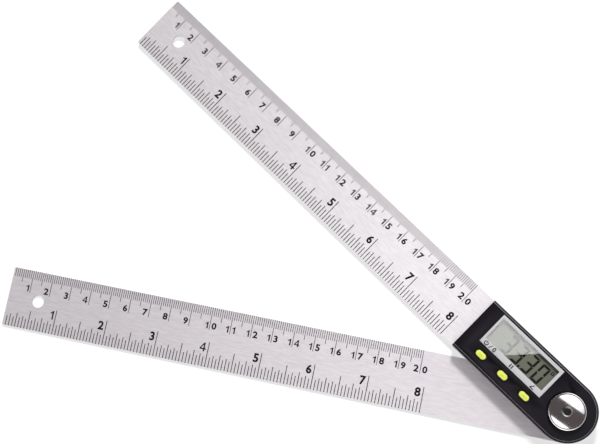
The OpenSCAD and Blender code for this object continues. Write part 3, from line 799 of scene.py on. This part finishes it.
def glyph_shape(text):
    """The built-in face's outline of one figure, as a flat mesh of unit height."""
    curve = bpy.data.curves.new("figure", "FONT")
    curve.body = text
    curve.resolution_u = 3
    curve.offset = FIGURE_WEIGHT
    mesh = evaluated_mesh(placed("figure", curve))
    bpy.data.curves.remove(curve)
    xs = [vert.co.x for vert in mesh.vertices]
    ys = [vert.co.y for vert in mesh.vertices]
    scale = 1.0 / (max(ys) - min(ys))
    for vert in mesh.vertices:
        vert.co = ((vert.co.x - min(xs)) * scale, (vert.co.y - min(ys)) * scale, 0.0)
    return mesh, (max(xs) - min(xs)) * scale


def drawn_shape(loops):
    """A figure drawn as closed loops of unit height; a second loop is its hole."""
    loops = [[Vector((x, y, 0.0)) for x, y in loop] for loop in loops]
    corners = [corner for loop in loops for corner in loop]
    mesh = bpy.data.meshes.new("figure")
    mesh.from_pydata(corners, [], tessellate_polygon(loops))
    return mesh, max(corner.x for corner in corners)


ONE = [[(0.22, 0.0), (0.40, 0.0), (0.40, 1.0), (0.28, 1.0), (0.23, 0.91), (0.13, 0.83),
        (0.0, 0.77), (0.0, 0.61), (0.12, 0.66), (0.22, 0.73)]]
FOUR = [[(0.40, 0.0), (0.57, 0.0), (0.57, 0.22), (0.71, 0.22), (0.71, 0.37), (0.57, 0.37),
         (0.57, 1.0), (0.42, 1.0), (0.0, 0.39), (0.0, 0.22), (0.40, 0.22)],
        [(0.40, 0.37), (0.15, 0.37), (0.40, 0.75)]]
GLYPHS = {figure: glyph_shape(figure) for figure in "02356789"}
GLYPHS.update({"1": drawn_shape(ONE), "4": drawn_shape(FOUR)})


def figure_width(figure, height, widening=1.0):
    return GLYPHS[figure][1] * height * widening


def add_figure(work, figure, height, left, baseline, levels, widening=1.0):
    """Put one figure so that it reads towards -X with its top towards -Y."""
    flat = bmesh.new()
    flat.from_mesh(GLYPHS[figure][0])
    bmesh.ops.remove_doubles(flat, verts=flat.verts, dist=1e-5)
    for vert in flat.verts:
        vert.co = Vector((left - vert.co.x * height * widening,
                          baseline - vert.co.y * height, levels[0]))
    bmesh.ops.recalc_face_normals(flat, faces=flat.faces)
    raised = bmesh.ops.extrude_face_region(flat, geom=list(flat.faces), use_keep_orig=True)
    for element in raised["geom"]:
        if isinstance(element, bmesh.types.BMVert):
            element.co.z = levels[1]
    spare = mesh_from("spare", flat)
    work.from_mesh(spare)
    bpy.data.meshes.remove(spare)


CM_FIGURE_H = 3.2 * MM
CM_LINE = -BLADE_R + 10.2 * MM
CM_GAP = 0.8 * MM
CM_SECOND_GAP = 0.9 * MM
CM_WIDENING = 1.1
INCH_FIGURE_H = 4.2 * MM
INCH_LINE = BLADE_R - 7.0 * MM
INCH_GAP = 1.1 * MM


def figures(name, face_z, turn, body):
    """Centimetre figures 1 to 20 and inch figures 1 to 8, from the free end."""
    work = bmesh.new()
    levels = mark_levels(face_z)
    for number in range(1, 21):
        tick = FREE_END - number * 10 * MM
        first, *second = str(number)
        left = tick + CM_GAP + figure_width(first, CM_FIGURE_H, CM_WIDENING)
        add_figure(work, first, CM_FIGURE_H, left, CM_LINE, levels, CM_WIDENING)
        for figure in second:
            add_figure(work, figure, CM_FIGURE_H, tick - CM_SECOND_GAP, CM_LINE, levels,
                       CM_WIDENING)
    for number in range(1, 9):
        figure = str(number)
        left = FREE_END - number * INCH + INCH_GAP + figure_width(figure, INCH_FIGURE_H)
        add_figure(work, figure, INCH_FIGURE_H, left, INCH_LINE, levels)
    bmesh.ops.rotate(work, verts=work.verts, cent=(0, 0, 0),
                     matrix=Matrix.Rotation(turn, 3, "Z"))
    piece(name, sealed(name, work), ETCHED, body, "stainless")


for label, face_z, turn, body in (("upper", blade_high.z, 0.0, "display_arm"),
                                  ("lower", arm_high.z, OPEN_ANGLE, "lower_arm")):
    graduations(label + "_cm_ticks", CM_RULE, -1, face_z, turn, body)
    graduations(label + "_inch_ticks", INCH_RULE, 1, face_z, turn, body)
    figures(label + "_figures", face_z, turn, body)


# ---- display figures ------------------------------------------------------

DIGIT_W = 4.25 * MM
DIGIT_H = 9.2 * MM
SEGMENT_W = 0.98 * MM
SEGMENT_GAP = 0.09 * MM
SLANT = math.tan(math.radians(3.0))
DIGIT_BASE = 0.75 * MM
DIGIT_LEFTS = [39.95 * MM, 33.85 * MM, 27.75 * MM, 21.6 * MM]
LIT = {"0": "abcdef", "3": "abcdg"}
DOT_W = 0.95 * MM
DOT_GAP = 0.55 * MM
DEGREE_W = 1.5 * MM
DEGREE_BAR = 0.36 * MM
DEGREE_SLIT = 0.02 * MM
DEGREE_GAP = 0.75 * MM


def segment_outlines():
    """Seven bars in a cell whose origin is at its lower left."""
    w, h, t, g = DIGIT_W, DIGIT_H, SEGMENT_W, SEGMENT_GAP
    mid = h / 2
    return {
        "a": [(g, h), (t + g, h - t), (w - t - g, h - t), (w - g, h)],
        "d": [(g, 0), (w - g, 0), (w - t - g, t), (t + g, t)],
        "g": [(g + t * 0.3, mid), (t + g, mid - t / 2), (w - t - g, mid - t / 2),
              (w - g - t * 0.3, mid), (w - t - g, mid + t / 2), (t + g, mid + t / 2)],
        "b": [(w, h - g), (w - t, h - t - g), (w - t, mid + t / 2 + g), (w, mid + g)],
        "c": [(w, mid - g), (w - t, mid - t / 2 - g), (w - t, t + g), (w, g)],
        "f": [(0, h - g), (0, mid + g), (t, mid + t / 2 + g), (t, h - t - g)],
        "e": [(0, mid - g), (0, g), (t, t + g), (t, mid - t / 2 - g)],
    }


def degree_outline():
    """A small square ring high beside the last figure, cut once so that it is one loop."""
    w, near, base = DEGREE_W, DEGREE_BAR, DIGIT_H - DEGREE_W
    far = w - near
    left, right = (w - DEGREE_SLIT) / 2, (w + DEGREE_SLIT) / 2
    loop = [(right, 0), (w, 0), (w, w), (0, w), (0, 0), (left, 0),
            (left, near), (near, near), (near, far), (far, far), (far, near), (right, near)]
    return [(x, base + y) for x, y in loop]


def display_marks(name, material, shift, rise):
    """The lit segments, or their painted shadows on the glass a little to one side."""
    work = bmesh.new()
    outlines = segment_outlines()
    levels = (panel_high.z - MARK_SINK, panel_high.z + rise)

    def put(points, left):
        prism(work, [(left - (x + y * SLANT) + shift, DIGIT_BASE - y + shift)
                     for x, y in points], levels)

    for left, figure in zip(DIGIT_LEFTS, "3330"):
        for label in LIT[figure]:
            put(outlines[label], left)
    put([(0, 0), (DOT_W, 0), (DOT_W, DOT_W), (0, DOT_W)], DIGIT_LEFTS[1] - DIGIT_W - DOT_GAP)
    put(degree_outline(), DIGIT_LEFTS[3] - DIGIT_W - DEGREE_GAP)
    piece(name, sealed(name, work), material, "display_arm", "display_glass")


# Dark copies of the segments shifted a little: painted shadow of the segments on the glass.
display_marks("display_segment_shadows", SEGMENT_PAINTED_SHADOW, -0.16 * MM, 0.006 * MM)
display_marks("display_segments", SEGMENT, 0.0, 0.02 * MM)


# ---- printed signs on the bezel, and relief on the lid ----------------------

def ring_sign(work, cx, cy, radius, width, start, end, levels, steps):
    """An open ring as one raised block."""
    outer = arc_points(cx, cy, radius + width / 2, start, end, steps)
    inner = arc_points(cx, cy, radius - width / 2, start, end, steps)
    prism(work, outer + inner[::-1], levels)


def bar_sign(work, start, end, width, levels):
    """A straight stroke from one point to another."""
    start, end = Vector(start), Vector(end)
    run = end - start
    side = Vector((-run.y, run.x)).normalized() * width / 2
    prism(work, [start - side, end - side, end + side, start + side], levels)


BAR_INNER_EDGE = 1.15 * MM
SIGN_R = 0.92 * MM
SIGN_STROKE = 0.44 * MM
THIN = 0.8
BOLD = 1.3
POWER_X = 45.4 * MM
POWER_ARC = (-50, 230)
POWER_OVERRUN = 0.25 * MM
STROKE_X = (42.3 * MM, 43.4 * MM)
ZERO_X = 40.6 * MM
BARS_X = (30.05 * MM, 31.15 * MM)
ANGLE_X = 17.9 * MM
ANGLE_REACH = 1.1
ANGLE_TOP = 0.6
ANGLE_FOOT = 0.9


def bezel_signs():
    """Plain signs over the buttons: a power ring with a zero, two bars, and an angle."""
    work = bmesh.new()
    levels = mark_levels(bezel_high.z)
    row = (BAR_INNER_EDGE + bezel_high.y) / 2
    upper, lower = row - SIGN_R, row + SIGN_R
    ring_sign(work, POWER_X, row, SIGN_R, SIGN_STROKE, *POWER_ARC, levels, 18)
    bar_sign(work, (POWER_X, row), (POWER_X, upper - POWER_OVERRUN), SIGN_STROKE, levels)
    bar_sign(work, (STROKE_X[0], upper), (STROKE_X[1], lower), SIGN_STROKE * THIN, levels)
    add_figure(work, "0", 2 * SIGN_R + SIGN_STROKE, ZERO_X + SIGN_R, lower + SIGN_STROKE / 2,
               levels)
    for x in BARS_X:
        bar_sign(work, (x, upper), (x, lower), SIGN_STROKE * BOLD, levels)
    corner = (ANGLE_X + SIGN_R, row + SIGN_R * ANGLE_FOOT)
    bar_sign(work, corner, (ANGLE_X - SIGN_R * ANGLE_REACH, corner[1]), SIGN_STROKE, levels)
    bar_sign(work, corner, (ANGLE_X - SIGN_R * ANGLE_TOP, upper), SIGN_STROKE, levels)
    piece("bezel_signs", sealed("bezel_signs", work), BEZEL_INK, "display_arm", "bezel_silver")


ARROW_R = 8.6 * MM
ARROW_STROKE = 0.5 * MM
ARROW_SWEEP = 45
ARROW_HALF = 0.8 * MM
ARROW_TIP = 1.4 * MM
RELIEF_DEPTH = 0.02 * MM


def lid_signs():
    """Two arc arrows moulded round the coin slot."""
    work = bmesh.new()
    cx = (lid_low.x + lid_high.x) / 2
    levels = (lid_low.z, lid_low.z + RELIEF_DEPTH)
    for start in (20, 200):
        ring_sign(work, cx, 0.0, ARROW_R, ARROW_STROKE, start, start + ARROW_SWEEP, levels, 12)
        turn = math.radians(start + ARROW_SWEEP)
        out = Vector((math.cos(turn), math.sin(turn)))
        ahead = Vector((-out.y, out.x))
        neck = Vector((cx, 0.0)) + out * ARROW_R
        prism(work, [neck - out * ARROW_HALF, neck + out * ARROW_HALF,
                     neck + ahead * ARROW_TIP], levels)
    piece("lid_signs", sealed("lid_signs", work), RELIEF, "cell_lid", "inner_black")


bezel_signs()
lid_signs()


# ---- floor, light and camera ----------------------------------------------

FLOOR_GLOW = 0.66
FLOOR_DROP = 0.05 * MM
FLOOR_FADE = (0.25, 0.75)
FLOOR_HALF = 1.6


def hide_from(thing, *rays):
    for ray in rays:
        setattr(thing, "visible_" + ray, False)


def floor():
    """A pale floor, brighter far from the object and clear from below."""
    work = bmesh.new()
    bmesh.ops.create_grid(work, x_segments=8, y_segments=8, size=FLOOR_HALF)
    plane = placed("floor", mesh_from("floor", work))
    plane.location.z = cad_low.z - FLOOR_DROP
    finish = Finish("pale floor", Specular_IOR_Level=0.0, Roughness=0.9,
                    Base_Color=(0.44, 0.44, 0.44), Emission_Color=(1.0, 1.0, 1.0))
    away = finish.vector("DISTANCE", finish.object_space(), (cad_low + cad_high) / 2)
    glow = finish.ramp(away, FLOOR_FADE[0], FLOOR_FADE[1], FLOOR_GLOW, 1.0, smooth=True)
    seen = finish.ray_is("Camera", "Transmission", "Glossy")
    finish.set(Emission_Strength=finish.calc("MULTIPLY", seen, glow))
    finish.clear_where(finish.add("ShaderNodeNewGeometry").outputs["Backfacing"])
    plane.data.materials.append(finish.material)


SKY_NEAR = 1.6
SKY_FAR = 0.03
SKY_SOFT = 0.23
SKY_EDGE = (0.02, 0.30)
SKY_AXIS = (0.872, 0.49, 0.0)
SKY_BEHIND = (-0.46, -0.2)
SKY_BEHIND_SHARE = 0.42


def sky():
    """White to the camera and soft on the object; mirrors show a ceiling with dark ends."""
    world = bpy.data.worlds.new("studio")
    bpy.context.scene.world = world
    world.use_nodes = True
    nodes = Nodes(world.node_tree)
    direction = nodes.add("ShaderNodeTexCoord").outputs["Generated"]
    away = nodes.vector("DOT_PRODUCT", direction, SKY_AXIS)
    ahead = nodes.ramp(away, *SKY_EDGE, SKY_NEAR, SKY_FAR, smooth=True)
    behind = nodes.ramp(away, *SKY_BEHIND, SKY_BEHIND_SHARE, 1.0, smooth=True)
    ceiling = nodes.calc("MULTIPLY", ahead, behind)
    shown = nodes.ramp(nodes.ray_is("Glossy"), 0.0, 1.0, SKY_SOFT, ceiling)
    level = nodes.ramp(nodes.ray_is("Camera", "Transmission"), 0.0, 1.0, shown, 1.0)
    back = nodes.tree.nodes["Background"].inputs
    nodes.feed(back["Color"], (1.0, 1.0, 1.0))
    nodes.feed(back["Strength"], level)


def lamp(name, place, turn, size, radiance):
    """A square softbox whose face has the given radiance."""
    data = bpy.data.lights.new(name, "AREA")
    data.shape = "RECTANGLE"
    data.size = data.size_y = size
    data.energy = radiance * math.pi * size * size
    holder = placed(name, data)
    holder.location = place
    holder.rotation_euler = turn
    return holder


KEY_PLACE = Vector((0.56, -0.65, 0.92))
KEY_TARGET = Vector((0.10, 0.0, 0.0))
KEY_SIZE = 0.2
KEY_RADIANCE = 110.0
CAMERA_PLACE = Vector((33.41, 24.55, 553.53)) * MM
CAMERA_TARGET = Vector((145.9, 21.8, 2.6)) * MM
PICTURE_UP = Vector((math.cos(math.radians(-45.21)), math.sin(math.radians(-45.21)), 0.0))

# Two spots on the window's level, in mm, where the mirrored bright card ends.
GLARE_EDGE = ((25.3, -10.5), (35.6, 0.7))
CARD_HEIGHT = 600 * MM
CARD_SIZE = 0.5
CARD_RADIANCE = 2.4
FLAG_HEIGHT = 163 * MM
FLAG_THICKNESS = 0.5 * MM
FLAG_CENTRE_X = -7.0 * MM
FLAG_SIDES = (-29.8 * MM, 7.2 * MM)
FLAG_END = -62 * MM
FLAG_SLOPE = math.tan(math.radians(8.8))


def glare_edge_at(height):
    """Where the camera's rays to the glare's edge are mirrored to, at a height."""
    face_z = bezel_high.z
    reach = (height - face_z) / (CAMERA_PLACE.z - face_z)
    return [Vector(spot) * MM * (1 + reach) - CAMERA_PLACE.xy * reach for spot in GLARE_EDGE]


def key_softbox():
    turn = (KEY_TARGET - KEY_PLACE).to_track_quat("-Z", "Y").to_euler()
    box = lamp("key_softbox", KEY_PLACE, turn, KEY_SIZE, KEY_RADIANCE)
    hide_from(box, "camera", "glossy")


def dark_flag():
    """A dark card over the housing, seen only in mirroring surfaces, above all the chrome and
    the display window.
    """
    first, second = glare_edge_at(FLAG_HEIGHT)
    slant = (second.x - first.x) / (second.y - first.y)
    ends = []
    for side in FLAG_SIDES:
        level = side - FLAG_SLOPE * FLAG_CENTRE_X
        cut = (first.x + slant * (level - first.y)) / (1 - slant * FLAG_SLOPE)
        ends.append([(x, level + FLAG_SLOPE * x) for x in (FLAG_END, cut)])
    work = bmesh.new()
    prism(work, ends[0] + ends[1][::-1], (FLAG_HEIGHT, FLAG_HEIGHT + FLAG_THICKNESS))
    flag = placed("dark_flag", mesh_from("dark_flag", work))
    finish = Finish("dark card", Base_Color=(0.02, 0.02, 0.02), Roughness=0.9,
                    Specular_IOR_Level=0.0, Emission_Color=(0.085, 0.07, 0.07),
                    Emission_Strength=1.0)
    flag.data.materials.append(finish.material)
    hide_from(flag, "camera", "diffuse", "shadow")


def window_card():
    """A bright softbox that only the display window mirrors, with one slanting edge."""
    first, second = glare_edge_at(CARD_HEIGHT)
    along = (second - first).normalized()
    centre = (first + second + Vector((along.y, -along.x)) * CARD_SIZE) / 2
    turn = (0.0, 0.0, math.atan2(along.y, along.x))
    card = lamp("window_card", (*centre, CARD_HEIGHT), turn, CARD_SIZE, CARD_RADIANCE)
    watched = bpy.data.collections.new("mirrors_the_card")
    watched.objects.link(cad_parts["display_window"])
    card.light_linking.receiver_collection = watched
    hide_from(card, "camera")


def camera():
    data = bpy.data.cameras.new("camera")
    data.sensor_width = 36.0
    data.sensor_fit = "HORIZONTAL"
    data.lens = 72.13
    data.clip_start = 0.01
    data.clip_end = 20.0
    holder = placed("camera", data)
    ahead = (CAMERA_TARGET - CAMERA_PLACE).normalized()
    right = ahead.cross(PICTURE_UP).normalized()
    turn = Matrix((right, right.cross(ahead), -ahead)).transposed()
    holder.matrix_world = Matrix.Translation(CAMERA_PLACE) @ turn.to_4x4()
    bpy.context.scene.camera = holder


floor()
sky()
key_softbox()
dark_flag()
window_card()
camera()
bpy.context.scene.view_settings.view_transform = "Standard"
